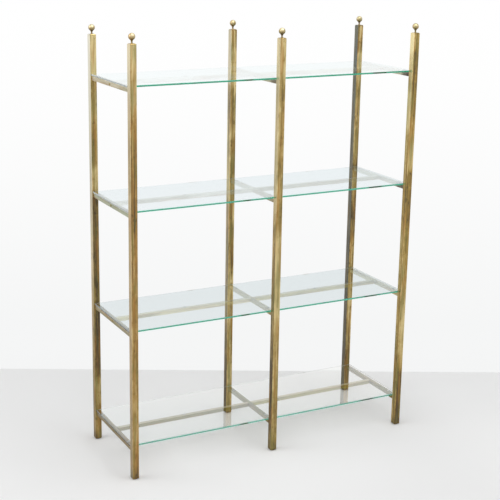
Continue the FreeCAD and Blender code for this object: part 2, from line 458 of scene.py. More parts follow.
class BrassPatinaAndLight(Effect):
    """Brass brushed along its length, gone dull in streaks, clouds and spots, with a painted sheen and a
    painted shade laid over it where asked.

    A rise of four numbers holds the values where it starts and ends, and the levels that it runs between.
    """

    title = "brass_patina"
    takes = (
        ("Place", Port.VECTOR, (0, 0, 0)),
        ("Seed", Port.VALUE, 0.0),
        ("Tarnish", Port.VALUE, 0.5),
        ("Streaks", Port.VALUE, 0.5),
        ("Clouds", Port.VALUE, 0.4),
        ("Spots", Port.VALUE, 0.2),
        # The next two inputs set how much painted sheen, standing in for reflected light, and painted shade
        # lie over the brass.
        ("Bloom", Port.VALUE, 0.0),
        ("Smoke", Port.VALUE, 0.0),
        ("Bright", Port.COLOUR, (0.7, 0.5, 0.25, 1)),
        ("Middle", Port.COLOUR, (0.35, 0.24, 0.09, 1)),
        ("Dark", Port.COLOUR, (0.1, 0.08, 0.04, 1)),
        # Pale is the colour of the painted sheen, and Grey that of the painted shade.
        ("Pale", Port.COLOUR, (0.8, 0.77, 0.66, 1)),
        ("Grey", Port.COLOUR, (0.16, 0.155, 0.13, 1)),
    )
    gives = (
        ("Colour", Port.COLOUR),
        ("Roughness", Port.VALUE),
        ("Metallic", Port.VALUE),
        ("Height", Port.VALUE),
    )
    streak_scale = (150, 150, 3.6)
    face_shift = (3.1, 5.3, 7.7)
    streaks = Clouds((1, 1, 1), 0.0, 3.0, 0.6)
    lines = Clouds((430, 430, 5), 5.0)
    brushing = Clouds((1500, 1500, 40), 0.0, 2.0, 0.6)
    clouds = Clouds((24, 24, 11), 9.0, 4.0, 0.6)
    spots = Clouds((120, 120, 50), 21.0, 3.0, 0.6)
    green = Clouds((70, 70, 8), 33.0)
    ruddy = Clouds((90, 90, 7), 45.0)
    green_paint = Paint(124, 120, 68)
    ruddy_paint = Paint(172, 122, 58)
    middle = 0.5
    line_share = 0.4
    brush_share = 0.22
    clean_share = -0.6
    spot_rise = (0.54, 0.7)
    clean_rise = (0.3, 0.44, 1.0, 0.0)
    green_rise = (0.45, 0.68, 0.0, 0.65)
    ruddy_rise = (0.48, 0.68, 0.0, 0.5)
    painted_shade_rise = (0.3, 0.7, 1.3, 0.7)
    painted_sheen_rise = (0.2, 0.8, 1.2, 0.8)
    metal_rise = (0.35, 1.0, 1.0, 0.72)
    least_roughness = 0.27
    tarnish_roughness = 0.2
    brush_roughness = 0.1
    brush_height = 0.6
    spot_height = 0.4

    def wire(self, graph: Graph, given: dict[str, Socket]) -> dict[str, Number]:
        """Layers the patterns into one tarnish value and colours it.

        Args:
            graph: the group's graph.
            given: the group's inputs by name.

        Returns:
            The colour, the roughness, how metallic it is, and the height for a bump.
        """
        place, seed = given["Place"], given["Seed"]
        shift = graph.vectors("MULTIPLY", graph.add("NewGeometry").outputs["Normal"], self.face_shift)
        by_face = graph.vectors("ADD", graph.vectors("MULTIPLY", place, self.streak_scale), shift)
        streak = self.streaks.draw(graph, by_face, seed)
        line, brush, cloud, spot, green, ruddy = (
            pattern.draw(graph, place, seed)
            for pattern in (self.lines, self.brushing, self.clouds, self.spots, self.green, self.ruddy)
        )
        swing = graph.plus(
            given["Tarnish"],
            graph.times(graph.minus(streak, self.middle), given["Streaks"]),
            graph.times(graph.minus(line, self.middle), given["Streaks"], self.line_share),
            graph.times(graph.minus(cloud, self.middle), given["Clouds"]),
            graph.times(graph.minus(brush, self.middle), self.brush_share),
            graph.times(graph.rise(spot, *self.spot_rise), given["Spots"]),
            graph.times(graph.rise(spot, *self.clean_rise), given["Spots"], self.clean_share),
        )
        tarnish = graph.times(swing, 1.0, clamp=True)
        pale = graph.blend(graph.times(tarnish, 2.0, clamp=True), given["Bright"], given["Middle"])
        deep = graph.times(graph.minus(tarnish, self.middle), 2.0, clamp=True)
        colour = graph.blend(deep, pale, given["Dark"])
        olive = graph.blend(graph.rise(green, *self.green_rise), colour, self.green_paint)
        tinted = graph.blend(graph.rise(ruddy, *self.ruddy_rise), olive, self.ruddy_paint)
        # Painted shade: the grey laid over in clouds.
        shade_share = graph.times(given["Smoke"], graph.rise(cloud, *self.painted_shade_rise), clamp=True)
        # Painted sheen: the pale colour laid over in streaks, standing in for reflected light.
        sheen_share = graph.times(given["Bloom"], graph.rise(streak, *self.painted_sheen_rise), clamp=True)
        return {
            "Colour": graph.blend(sheen_share, graph.blend(shade_share, tinted, given["Grey"]), given["Pale"]),
            "Roughness": graph.plus(
                graph.times(tarnish, self.tarnish_roughness),
                graph.times(brush, self.brush_roughness),
                self.least_roughness,
            ),
            "Metallic": graph.rise(tarnish, *self.metal_rise),
            "Height": graph.plus(graph.times(brush, self.brush_height), graph.times(spot, self.spot_height)),
        }


class Handling(Effect):
    """Faint wipe marks, prints and dust on a clear surface."""

    title = "handling_marks"
    takes = (("Place", Port.VECTOR, (0, 0, 0)), ("Seed", Port.VALUE, 0.0))
    gives = (("Haze", Port.VALUE), ("Dust", Port.VALUE))
    wipes = Clouds((3, 14, 14), 0.0, 4.0, 0.6)
    specks = Clouds((420, 420, 420), 0.0, 1.0)
    haze_rise = (0.5, 0.8)
    dust_rise = (0.72, 0.8)

    def wire(self, graph: Graph, given: dict[str, Socket]) -> dict[str, Number]:
        """Draws long wipe marks and small specks.

        Args:
            graph: the group's graph.
            given: the group's inputs by name.

        Returns:
            The masks of the marks and of the specks.
        """
        place, seed = given["Place"], given["Seed"]
        wipe, speck = (pattern.draw(graph, place, seed) for pattern in (self.wipes, self.specks))
        return {"Haze": graph.rise(wipe, *self.haze_rise), "Dust": graph.rise(speck, *self.dust_rise)}


# ---------------------------------------------------------------- finishes
class Grain(Enum):
    """Which way a brass piece was brushed: the order that the axes are read in, the last along the grain."""

    UPRIGHT = (0, 1, 2)
    ALONG_WIDTH = (1, 2, 0)
    ALONG_DEPTH = (0, 2, 1)


class Side(Enum):
    """Faces that a stretch of tarnish, painted sheen or painted shade can keep to."""

    ALL = "All"
    LEFT = "Left"
    FRONT = "Front"
    TOP = "Top"


class Tone(Enum):
    """What a stretch changes: the tarnish, a painted sheen or a painted shade."""

    TARNISH = "darker where the amount is above 0, brighter below it"
    # Painted reflected light: a pale cast that stands in for the window's light mirrored in the faces.
    BLOOM = "pale and dry, as brass goes where polish has dried on it"
    # Painted shade: a flat grey that stands in for shade on faces turned from the light.
    SMOKE = "grey and flat, as brass goes where it is never wiped"


@dataclass(frozen=True)
class Patch:
    """A stretch of tarnish, painted sheen or painted shade along a bar, in metres."""

    low: float
    high: float
    amount: float
    fade: float = 0.05
    side: Side = Side.ALL
    tone: Tone = Tone.TARNISH


def new_material(name: str) -> tuple[bpy.types.Material, Graph, bpy.types.Node]:
    """Starts a material.

    Args:
        name: the material's name.

    Returns:
        The material, its graph and its output node.
    """
    material = bpy.data.materials.new(name)
    material.use_nodes = True
    material.node_tree.nodes.clear()
    graph = Graph(material.node_tree)
    return material, graph, graph.add("OutputMaterial")


@dataclass(frozen=True)
class Brass:
    """Aged satin brass of one bar or one kind of small piece."""

    name: str
    grain: Grain = Grain.UPRIGHT
    seed: float = 0.0
    centre: Triple = (0.0, 0.0, 0.0)
    half_side: float = 0.0125
    corner: float = 0.002
    tarnish: float = 0.5
    streaks: float = 2.0
    clouds: float = 1.0
    spots: float = 0.34
    wear: float = 0.4
    # shelf_tone sets how strong the painted highlight above each shelf and the painted shade below it are.
    shelf_tone: float = 0.0
    shelf_highlight_share: float = -0.8
    bright: Paint = Paint(221, 201, 146)
    middle: Paint = Paint(162, 137, 80)
    dark: Paint = Paint(86, 72, 48)
    # pale is the colour of the painted sheen, and grey that of the painted shade.
    pale: Paint = Paint(234, 228, 210)
    grey: Paint = Paint(106, 111, 107)
    coat: float = 0.2
    coat_roughness: float = 0.3
    bump_strength: float = 0.12
    bump_distance: float = 0.0004
    patches: tuple[Patch, ...] = ()

    def material(self) -> bpy.types.Material:
        """Makes the material.

        Returns:
            The finished material.
        """
        material, graph, output = new_material(self.name)
        parts = graph.split(graph.point())
        place = graph.joined([graph.minus(parts[axis], self.centre[axis]) for axis in self.grain.value])
        layers: list[Number] = [self.tarnish]
        # Paler corners: worn by handling, and a painted edge highlight.
        if self.wear:
            rubbed = graph.place(
                CornerWearAndGlint(), place=place, half_side=self.half_side, width=self.corner, seed=self.seed
            )
            layers.append(graph.times(rubbed["Wear"], -self.wear))
        if self.shelf_tone:
            tone = graph.place(ShelfTone(), height=parts[2])
            layers.append(graph.times(tone["Rubbed"], self.shelf_highlight_share * self.shelf_tone))
            layers.append(graph.times(tone["Dull"], self.shelf_tone))
        stretches = self.stretches(graph, parts[self.grain.value[2]])
        own = ("seed", "streaks", "clouds", "spots", "bright", "middle", "dark", "pale", "grey")
        patina = graph.place(
            BrassPatinaAndLight(),
            place=place,
            tarnish=graph.plus(*layers, *stretches[Tone.TARNISH]),
            bloom=graph.plus(*stretches[Tone.BLOOM]),
            smoke=graph.plus(*stretches[Tone.SMOKE]),
            **{name: getattr(self, name) for name in own},
        )
        shader = graph.fill(
            graph.add("BsdfPrincipled"),
            base_color=patina["Colour"],
            roughness=patina["Roughness"],
            metallic=patina["Metallic"],
            normal=graph.bump(patina["Height"], self.bump_strength, self.bump_distance),
            coat_weight=self.coat,
            coat_roughness=self.coat_roughness,
        )
        graph.feed(output.inputs["Surface"], shader)
        return material

    def stretches(self, graph: Graph, along: Socket) -> dict[Tone, list[Number]]:
        """Places the patches.

        Args:
            graph: the material's graph.
            along: the coordinate along the bar.

        Returns:
            What each patch adds to each tone.
        """
        layers: dict[Tone, list[Number]] = {tone: [] for tone in Tone}
        if not self.patches:
            return layers
        sides = graph.place(FaceSides())
        for patch in self.patches:
            own = {name: getattr(patch, name) for name in ("low", "high", "fade", "amount")}
            side = 1.0 if patch.side is Side.ALL else sides[patch.side.value]
            layers[patch.tone].append(graph.place(Stretch(), along=along, side=side, **own)["Amount"])
        return layers


@dataclass(frozen=True)
class FloatGlass:
    """Clear float glass, green in its depth, with a painted tint on its faces and frosted on its ground ends.
    """

    name: str
    painted_veil: Paint
    frost: float
    depth_density: float
    depth_colour: Rgba = (0.0, 0.72, 0.57, 1.0)
    lamp_tint: Rgba = (1.0, 0.987, 0.989, 1.0)
    refraction: float = 1.52
    level_from: Pair = (0.8, 0.95)
    arris_from: Pair = (0.25, 0.45)
    end_from: Pair = (0.3, 0.8)
    arris_roughness: float = 0.3
    haze_roughness: float = 0.02
    dust_roughness: float = 0.08
    coat_roughness: Pair = (0.4, 0.01)
    coat_refraction: Pair = (6.0, 1.5)
    marks_seed: float = 4.0

    def material(self) -> bpy.types.Material:
        """Makes the material.

        Returns:
            The finished material.
        """
        material, graph, output = new_material(self.name)
        marks = graph.place(Handling(), place=graph.point(), seed=self.marks_seed)
        geometry = graph.add("NewGeometry")
        across, _, height = graph.split(geometry.outputs["Normal"])
        upward = graph.sum("ABSOLUTE", height)
        level = graph.rise(upward, *self.level_from)
        not_level = graph.rise(upward, *self.level_from, 1.0, 0.0)
        arris = graph.times(graph.rise(upward, *self.arris_from), not_level)
        ends = graph.rise(graph.sum("ABSOLUTE", across), *self.end_from, 0.0, self.frost)
        outside = graph.minus(1.0, geometry.outputs["Backfacing"])
        shader = graph.fill(
            graph.add("BsdfPrincipled"),
            # Painted tint on the flat faces: it dims what shows through, standing in for the reflections that
            # differ from sheet to sheet.
            base_color=graph.blend(level, WHITE, self.painted_veil),
            roughness=graph.plus(
                graph.times(arris, self.arris_roughness),
                graph.times(marks["Haze"], self.haze_roughness),
                graph.times(marks["Dust"], self.dust_roughness),
            ),
            ior=self.refraction,
            transmission_weight=1.0,
            coat_weight=graph.times(graph.plus(ends, level), outside),
            coat_roughness=graph.rise(upward, *self.level_from, *self.coat_roughness),
            coat_ior=graph.rise(upward, *self.level_from, *self.coat_refraction),
        )
        lets_through = graph.fill(graph.add("BsdfTransparent"), color=self.lamp_tint)
        in_shadow = graph.add("LightPath").outputs["Is Shadow Ray"]
        graph.feed(output.inputs["Surface"], graph.cover(in_shadow, shader, lets_through))
        depth = graph.fill(graph.add("VolumeAbsorption"), color=self.depth_colour, density=self.depth_density)
        graph.feed(output.inputs["Volume"], depth)
        return material


@dataclass(frozen=True)
class Moulded:
    """Moulded plastic or rubber of the small hidden pieces."""

    name: str
    colour: Paint
    faded: Paint
    roughness: float
    clear: float = 0.0
    refraction: float = 1.49
    unevenness: float = 0.08
    bump_strength: float = 0.2
    bump_distance: float = 0.0002
    grains: Clouds = Clouds((900, 900, 900), 2.0)
    scuffs: Clouds = Clouds((160, 160, 160), 7.0, 3.0, 0.6)
    faded_from: Pair = (0.4, 0.7)
    rough_from: Pair = (0.3, 0.7)

    def material(self) -> bpy.types.Material:
        """Makes the material.

        Returns:
            The finished material.
        """
        material, graph, output = new_material(self.name)
        place = graph.point()
        grain, scuff = self.grains.draw(graph, place), self.scuffs.draw(graph, place)
        least, most = self.roughness - self.unevenness, self.roughness + self.unevenness
        shader = graph.fill(
            graph.add("BsdfPrincipled"),
            base_color=graph.blend(graph.rise(scuff, *self.faded_from), self.colour, self.faded),
            roughness=graph.rise(scuff, *self.rough_from, least, most),
            normal=graph.bump(grain, self.bump_strength, self.bump_distance),
            transmission_weight=self.clear,
            ior=self.refraction,
        )
        graph.feed(output.inputs["Surface"], shader)
        return material


# ---------------------------------------------------------------- pieces
def dress(node: str, material: bpy.types.Material) -> None:
    """Gives a node of the frame its finish.

    Args:
        node: the node's name.
        material: what all its faces are made of.
    """
    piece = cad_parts[node]
    if not piece.material_slots:
        piece.data.materials.append(material)
    for holder in piece.material_slots:
        holder.material = material
    log.info("dressed %s with %s", node, material.name)


@dataclass
class Builder:
    """Gathers vertices and faces into one piece."""

    name: str
    points: list[Vector] = field(default_factory=list)
    faces: list[tuple[int, ...]] = field(default_factory=list)

    def ring(self, points: Iterable[Vector]) -> list[int]:
        """Adds a ring of points.

        Args:
            points: the points, in order.

        Returns:
            Their numbers.
        """
        start = len(self.points)
        self.points += list(points)
        return list(range(start, len(self.points)))

    def band(self, first: list[int], second: list[int]) -> None:
        """Joins two closed rings of as many points with quads.

        Args:
            first: the numbers of the first ring.
            second: the numbers of the second ring.
        """
        for here in range(len(first)):
            after = (here + 1) % len(first)
            self.faces.append((first[here], first[after], second[after], second[here]))

    def build(self, material: bpy.types.Material, body: str, slot: str, smooth: bool) -> bpy.types.Object:
        """Makes the object.

        Args:
            material: what all its faces are made of.
            body: the body of the frame that it rides on.
            slot: not used.
            smooth: True to shade it smooth.

        Returns:
            The piece.
        """
        mesh = bpy.data.meshes.new(self.name)
        mesh.from_pydata([tuple(point) for point in self.points], [], self.faces)
        shape = bmesh.new()
        shape.from_mesh(mesh)
        bmesh.ops.recalc_face_normals(shape, faces=shape.faces)
        for face in shape.faces:
            face.smooth = smooth
        shape.to_mesh(mesh)
        shape.free()
        mesh.materials.append(material)
        piece = bpy.data.objects.new(self.name, mesh)
        bpy.context.scene.collection.objects.link(piece)
        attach(piece, body)
        log.info("built %s: %d faces", self.name, len(mesh.polygons))
        return piece


def rounded_outline(half_width: float, half_depth: float, radius: float, steps: int) -> list[Pair]:
    """Outline of a rectangle with round corners, its middle at zero.

    Args:
        half_width: half its width.
        half_depth: half its depth.
        radius: of its corners.
        steps: the number of straight runs in each corner.

    Returns:
        Its points, anticlockwise.
    """
    points = []
    for quarter, (across, deep) in enumerate(((1, 1), (-1, 1), (-1, -1), (1, -1))):
        for step in range(steps + 1):
            turn = math.radians(90 * (quarter + step / steps))
            x = across * (half_width - radius) + radius * math.cos(turn)
            points.append((x, deep * (half_depth - radius) + radius * math.sin(turn)))
    return points


@dataclass
class GlassSheet:
    """One loose sheet of glass, with dubbed corners and ground arrises."""

    level: str
    corner: float = 0.002
    arris: float = 0.0008
    corner_steps: int = 4

    def build(self, material: bpy.types.Material) -> bpy.types.Object:
        """Builds the sheet in the place of its node.

        Args:
            material: the glass.

        Returns:
            The sheet.
        """
        low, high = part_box(f"glass_{self.level}")
        middle, half = (low + high) / 2, (high - low) / 2
        sheet = Builder(f"sheet_{self.level}_glass")
        rings = []
        heights = (low.z, low.z + self.arris, high.z - self.arris, high.z)
        for height, inset in zip(heights, (self.arris, 0.0, 0.0, self.arris)):
            outline = rounded_outline(half.x - inset, half.y - inset, self.corner, self.corner_steps)
            rings.append(sheet.ring(Vector((middle.x + x, middle.y + y, height)) for x, y in outline))
        for first, second in zip(rings, rings[1:]):
            sheet.band(first, second)
        sheet.faces.append(tuple(reversed(rings[0])))
        sheet.faces.append(tuple(rings[-1]))
        piece = sheet.build(material, f"sheet_{self.level}", "glass", smooth=False)
        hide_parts(f"glass_{self.level}")
        return piece


@dataclass
class BrazedJoints:
    """Fillets of braze where the cross rails of one level meet the posts."""

    level: str
    leg: float = 0.0016
    sink: float = 0.0001
    rail_corner: float = 0.0015
    corner_steps: int = 5
    arc_steps: int = 4
    least_swell: float = 0.85
    swell_range: float = 0.3
    lumps: float = 260.0
    lump_shift: float = 31.0

    def build(self, material: bpy.types.Material) -> bpy.types.Object:
        """Builds the six fillets as one piece.

        Args:
            material: the braze.

        Returns:
            The piece.
        """
        fillets = Builder(f"braze_{self.level}")
        for side in SIDES:
            low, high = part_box(f"cross_rail_{side}_{self.level}")
            middle, half = (low + high) / 2, (high - low) / 2
            for face, away in ((low.y, 1), (high.y, -1)):
                self.fillet(fillets, Vector((middle.x, face, middle.z)), half.x, away)
        return fillets.build(material, "frame", "cast_brass", smooth=True)

    def profile(self) -> list[Pair]:
        """Returns the fillet's section, as shares of its leg out from the rail and along it."""
        arc = [math.radians(90 * step / self.arc_steps) for step in range(self.arc_steps + 1)]
        return [(1 - math.cos(turn), 1 - math.sin(turn)) for turn in arc]

    def fillet(self, fillets: Builder, centre: Vector, half: float, away: int) -> None:
        """Adds the fillet round one end of a rail.

        Args:
            fillets: what it goes into.
            centre: the middle of the rail's end.
            half: half the rail's side.
            away: 1 where the rail runs towards the rear, or -1.
        """
        base, grown = (
            rounded_outline(half + leg, half + leg, self.rail_corner + leg, self.corner_steps)
            for leg in (0.0, self.leg)
        )
        sunk = -self.sink
        rings = []
        for out_share, along_share in [(sunk, 1.0), *self.profile(), (1.0, sunk), (sunk, sunk)]:
            points = []
            for (x, z), (wide_x, wide_z) in zip(base, grown):
                lump = noise.noise(Vector((x, z, centre.z)) * self.lumps + centre * self.lump_shift)
                swell = self.least_swell + self.swell_range * lump
                out = out_share * swell if out_share > 0 else out_share / self.leg
                along = along_share * self.leg * swell if along_share > 0 else along_share
                x_out, z_out = (wide_x - x) * out, (wide_z - z) * out
                points.append(Vector((centre.x + x + x_out, centre.y + away * along, centre.z + z + z_out)))
            rings.append(fillets.ring(points))
        for first, second in zip(rings, rings[1:] + rings[:1]):
            fillets.band(first, second)


@dataclass(frozen=True)
class PostTone:
    """What one post has aged to, and the light and shade painted on it.

    It holds how dull the post is, the stretches where its front and left faces differ, which are partly
    tarnish and partly painted light and shade by face, and where the left one has a pale painted sheen or a
    grey painted shade, how uneven the tarnish is, how worn and lit its corners are, and its hues. A stretch
    holds its low and high end, its amount and its fade, as a patch does. FOOT and HEAD lie beyond the ends of
    the post.
    """

    tarnish: float
    front: Stretches
    left: Stretches
    bloom: Stretches = ()
    smoke: Stretches = ()
    contrast: float = 1.0
    wear: float = Brass.wear
    middle: Paint = Brass.middle
    pale: Paint = Brass.pale

    def patches(self) -> list[Patch]:
        """Sorts the stretches by what they change.

        Returns:
            A patch for each.
        """
        kinds = (
            (self.front, Side.FRONT, Tone.TARNISH),
            (self.left, Side.LEFT, Tone.TARNISH),
            (self.bloom, Side.LEFT, Tone.BLOOM),
            (self.smoke, Side.LEFT, Tone.SMOKE),
        )
        return [Patch(*row, side=side, tone=tone) for stretches, side, tone in kinds for row in stretches]


@dataclass
class Posts:
    """Six square posts, each with its own history of handling and its own painted light and shade, and their
    caps, feet and finials.
    """

    patina: dict[tuple[str, str], PostTone]
    shelf_tone: float = 0.07
    first_seed: float = 11.0
    row_seed: float = 7.0
    side_seed: float = 2.3
    ends: tuple[Patch, ...] = (
        Patch(1.5, 1.7, -0.2, 0.06),
        # Painted shade on the top face of the cap.
        Patch(1.56, 1.7, 0.5, 0.01, Side.TOP),
        Patch(-0.1, 0.035, 0.25, 0.03),
        Patch(1.5726, 1.5734, 0.5, 0.0003),
        Patch(0.0077, 0.0083, 0.5, 0.0003),
    )
    turned: Brass = Brass(
        "turned_brass",
        seed=3.0,
        tarnish=0.2,
        streaks=0.15,
        clouds=0.3,
        spots=0.25,
        wear=0.0,
        bright=Paint(222, 211, 176),
        middle=Paint(176, 155, 108),
        dark=Paint(98, 78, 48),
        coat=0.25,
        # Painted shade low on the finial, on its neck and the underside of its ball.
        patches=(Patch(1.57, 1.5975, 0.6, 0.007),),
    )

    def dress(self) -> None:
        """Gives each post and the pieces on it their finishes."""
        turned = self.turned.material()
        for index, row in enumerate(ROWS):
            for place, side in enumerate(SIDES):
                tone = self.patina[row, side]
                low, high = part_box(f"post_{row}_{side}")
                middle = (low + high) / 2
                tube = Brass(
                    f"brass_post_{row}_{side}",
                    seed=self.first_seed + self.row_seed * index + self.side_seed * place,
                    centre=(middle.x, middle.y, 0.0),
                    tarnish=tone.tarnish,
                    streaks=Brass.streaks * tone.contrast,
                    clouds=Brass.clouds * tone.contrast,
                    spots=Brass.spots * tone.contrast,
                    wear=tone.wear,
                    middle=tone.middle,
                    pale=tone.pale,
                    shelf_tone=self.shelf_tone,
                    patches=(*self.ends, *tone.patches()),
                ).material()
                for kind in ("post", "cap", "foot"):
                    dress(f"{kind}_{row}_{side}", tube)
                dress(f"finial_{row}_{side}", turned)


@dataclass(frozen=True)
class RailTones:
    """What the rails of one level have aged to, with painted light on them.

    It holds the paint of the left cross rail and of the other two, the paints of the long rails by bay, the
    painted sheen on the tops of these, and how grey the painted shade on the front end of each cross rail is.
    """

    end: Paint
    inner: Paint
    long: tuple[Paint, Paint]
    # The painted sheen on the top faces of the long rails, standing in for the white wall mirrored in the
    # glass over them.
    dust: float
    shaded: Triple = (0.0, 0.0, 0.0)


@dataclass
class Rails:
    """The slim rails of one level."""

    level: str
    tones: RailTones
    half_side: float = 0.0075
    corner: float = 0.0015
    whole: Pair = (-1.0, 1.0)
    shaded_end: float = -0.13
    shaded_fade: float = 0.012
    lit_top: float = -0.2
    bright_share: float = 1.15
    dark_share: float = 0.62
    first_seed: float = 40.0
    level_seed: float = 5.0

    def dress(self) -> None:
        """Gives the rails of the level their finishes."""
        seed = self.first_seed + self.level_seed * LEVELS.index(self.level)
        # Painted light: the top faces of the cross rails are painted brighter.
        top = Patch(*self.whole, self.lit_top, side=Side.TOP)
        for index, side in enumerate(SIDES):
            tone = self.tones.end if side == "left" else self.tones.inner
            # Painted shade on the front end of each cross rail, just below the edge of the glass.
            grey = self.tones.shaded[index]
            shaded = Patch(self.whole[0], self.shaded_end, grey, self.shaded_fade, tone=Tone.SMOKE)
            self.finish(f"cross_rail_{side}", Grain.ALONG_DEPTH, seed + index, tone, (top, shaded))
        # Painted sheen on the top faces of the long rails.
        sheen_on_top = Patch(*self.whole, self.tones.dust, side=Side.TOP, tone=Tone.BLOOM)
        seed += len(SIDES)
        for index, bay in enumerate(BAYS):
            self.finish(f"long_rail_{bay}", Grain.ALONG_WIDTH, seed + index, self.tones.long[index], (sheen_on_top,))

    def finish(self, name: str, grain: Grain, seed: float, tone: Paint, patches: tuple[Patch, ...]) -> None:
        """Finishes one rail.

        Args:
            name: the rail's name within the level.
            grain: which way it is brushed.
            seed: its own pattern.
            tone: the colour that it has aged to.
            patches: the stretches where it differs.
        """
        low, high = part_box(f"{name}_{self.level}")
        brass = Brass(
            f"brass_{name}_{self.level}",
            grain=grain,
            seed=seed,
            centre=tuple((low + high) / 2),
            half_side=self.half_side,
            corner=self.corner,
            streaks=0.6,
            clouds=0.25,
            spots=0.12,
            wear=0.15,
            bright=tone.scaled(self.bright_share),
            middle=tone,
            dark=tone.scaled(self.dark_share),
            # The grey of the painted shade on the front ends of the cross rails.
            grey=Paint(84, 72, 64),
            patches=patches,
        )
        dress(f"{name}_{self.level}", brass.material())


@dataclass
class Fittings:
    """Screws, studs and plugs that fasten the rails, pads under the glass and glides under the feet."""

    screw: Brass = Brass("screw_brass", seed=61.0, streaks=0.2, clouds=0.6, wear=0.0)
    pad: Moulded = Moulded("clear_pad", Paint(226, 230, 226), Paint(206, 210, 200), 0.3, clear=0.85)
    glide: Moulded = Moulded("glide_nylon", Paint(64, 58, 46), Paint(92, 86, 70), 0.6)

    def dress(self) -> None:
        """Gives the fittings their finishes."""
        pads = tuple(f"pads_{level}" for level in LEVELS)
        screws = ("end_screws", "centre_studs", "rail_plugs")
        for finish, nodes in ((self.screw, screws), (self.pad, pads), (self.glide, ("glides",))):
            material = finish.material()
            for node in nodes:
                dress(node, material)


# ---------------------------------------------------------------- the studio
@dataclass(frozen=True)
class SoftBox:
    """A soft studio lamp."""

    name: str
    place: Triple
    aim: Triple
    width: float
    height: float
    power: float

    def build(self) -> None:
        """Hangs the lamp, whose light passes the glass once, as the shadow rays do."""
        data = bpy.data.lights.new(self.name, "AREA")
        data.shape, data.size, data.size_y, data.energy = "RECTANGLE", self.width, self.height, self.power
        lamp = bpy.data.objects.new(self.name, data)
        lamp.location = self.place
        lamp.rotation_euler = (Vector(self.aim) - Vector(self.place)).to_track_quat("-Z", "Y").to_euler()
        lamp.visible_transmission = False
        bpy.context.scene.collection.objects.link(lamp)


def seen_directly(graph: Graph) -> Socket:
    """Finds where the camera, a mirror or clear glass shows a surface.

    Args:
        graph: the graph that it goes into.

    Returns:
        1 there, and 0 where the surface only lights others.
    """
    path = graph.add("LightPath")
    seen = graph.sum("MAXIMUM", path.outputs["Is Camera Ray"], path.outputs["Is Glossy Ray"])
    seen = graph.sum("MAXIMUM", seen, path.outputs["Is Transmission Ray"])
    return graph.times(seen, graph.sum("LESS_THAN", path.outputs["Diffuse Depth"], BEFORE_ONE_BOUNCE))


